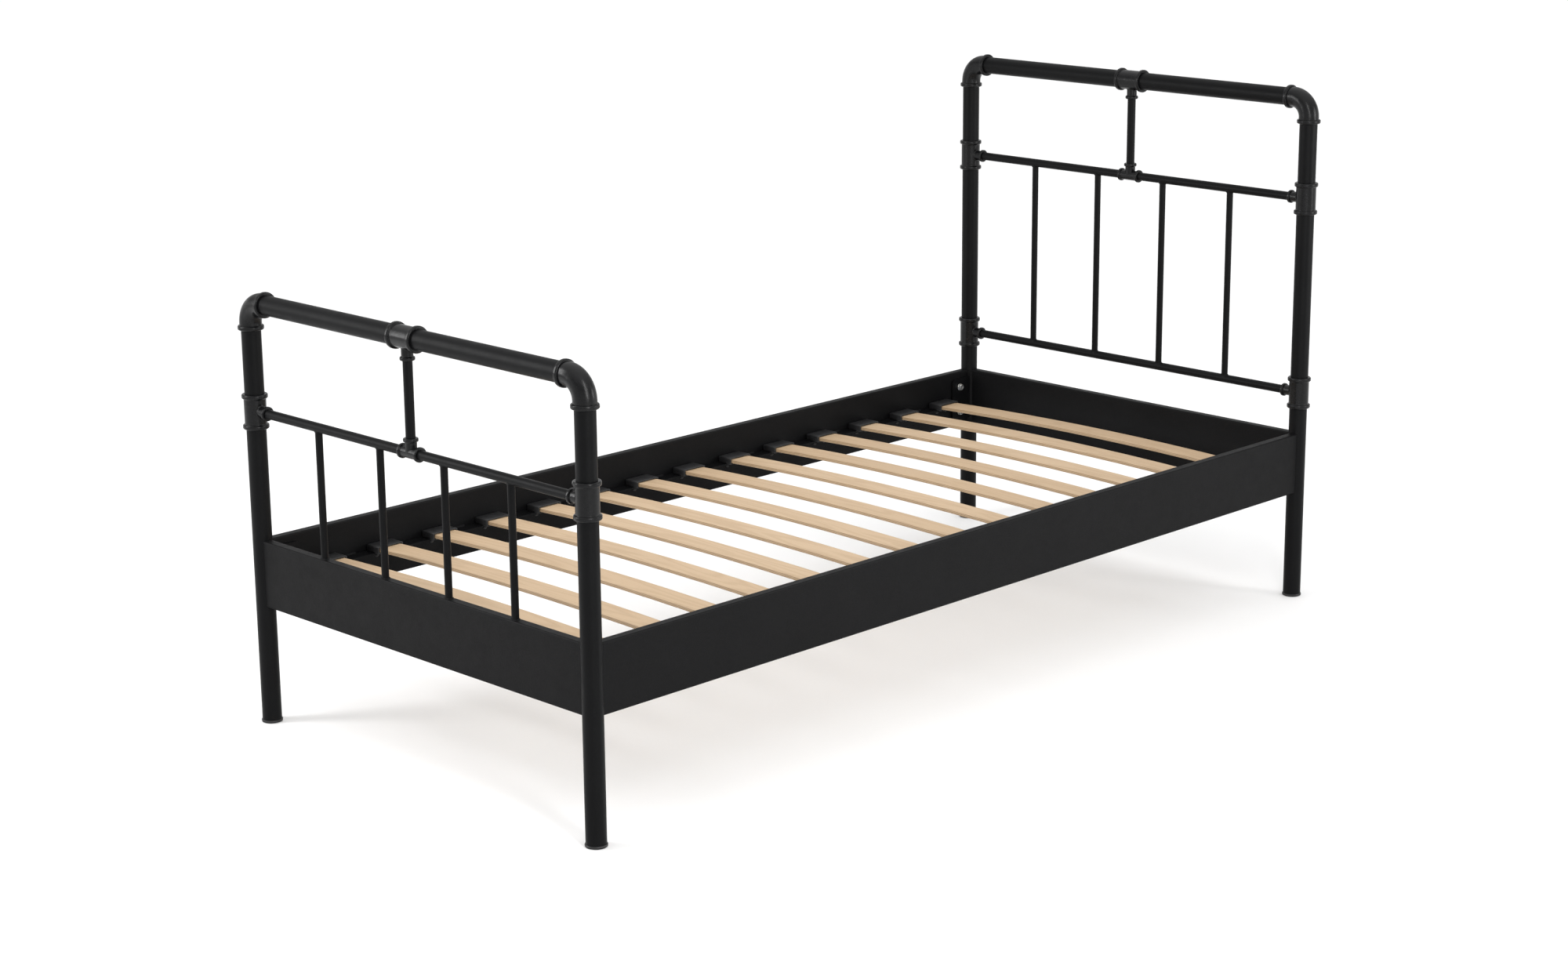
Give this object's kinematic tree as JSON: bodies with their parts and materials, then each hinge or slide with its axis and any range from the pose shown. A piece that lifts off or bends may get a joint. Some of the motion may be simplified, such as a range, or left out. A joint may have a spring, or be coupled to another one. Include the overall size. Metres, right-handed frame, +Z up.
{
  "type": "bed frame",
  "caption": "Single metal bed frame with pipe-fitting style head and foot ends, boxed side rails and a base of bowed plywood slats.",
  "frame": {"origin": "on the floor under the middle of the frame", "axes": "+X across the bed to its right side seen from the foot, +Y from the foot to the head, +Z up"},
  "size_m": [1, 2.1, 1.12],
  "materials": {
    "tube_black": "fine-textured matt black powder coat",
    "fitting_black": "satin black powder coat over cast fittings",
    "panel_black": "fine-textured matt black powder coat",
    "slat_birch": "clear-sealed birch plywood",
    "holder_black": "moulded matt plastic",
    "foot_black": "moulded matt plastic",
    "zinc": "bright zinc plate"
  },
  "bodies": {
    "root": {"bolts": "zinc", "corner_plates": "tube_black", "foot_caps": "foot_black", "foot_centre_stem": "tube_black", "foot_centre_tee": "fitting_black", "foot_left_elbow": "fitting_black", "foot_left_post": "tube_black", "foot_left_tee": "fitting_black", "foot_mid_rail": "tube_black", "foot_panel": "panel_black", "foot_right_elbow": "fitting_black", "foot_right_post": "tube_black", "foot_right_tee": "fitting_black", "foot_spindle_1": "tube_black", "foot_spindle_2": "tube_black", "foot_spindle_3": "tube_black", "foot_spindle_4": "tube_black", "foot_top_rail": "tube_black", "foot_top_tee": "fitting_black", "head_centre_stem": "tube_black", "head_centre_tee": "fitting_black", "head_left_elbow": "fitting_black", "head_left_lower_tee": "fitting_black", "head_left_post": "tube_black", "head_left_upper_tee": "fitting_black", "head_low_rail": "tube_black", "head_mid_rail": "tube_black", "head_panel": "panel_black", "head_right_elbow": "fitting_black", "head_right_lower_tee": "fitting_black", "head_right_post": "tube_black", "head_right_upper_tee": "fitting_black", "head_spindle_1": "tube_black", "head_spindle_2": "tube_black", "head_spindle_3": "tube_black", "head_spindle_4": "tube_black", "head_top_rail": "tube_black", "head_top_tee": "fitting_black", "left_side_rail": "panel_black", "left_slat_ledge": "tube_black", "right_side_rail": "panel_black", "right_slat_ledge": "tube_black", "rivet_nuts": "zinc", "slat_01": "slat_birch", "slat_02": "slat_birch", "slat_03": "slat_birch", "slat_04": "slat_birch", "slat_05": "slat_birch", "slat_06": "slat_birch", "slat_07": "slat_birch", "slat_08": "slat_birch", "slat_09": "slat_birch", "slat_10": "slat_birch", "slat_11": "slat_birch", "slat_12": "slat_birch", "slat_13": "slat_birch", "slat_14": "slat_birch", "slat_holders": "holder_black", "washers": "zinc"}
  },
  "joints": []
}
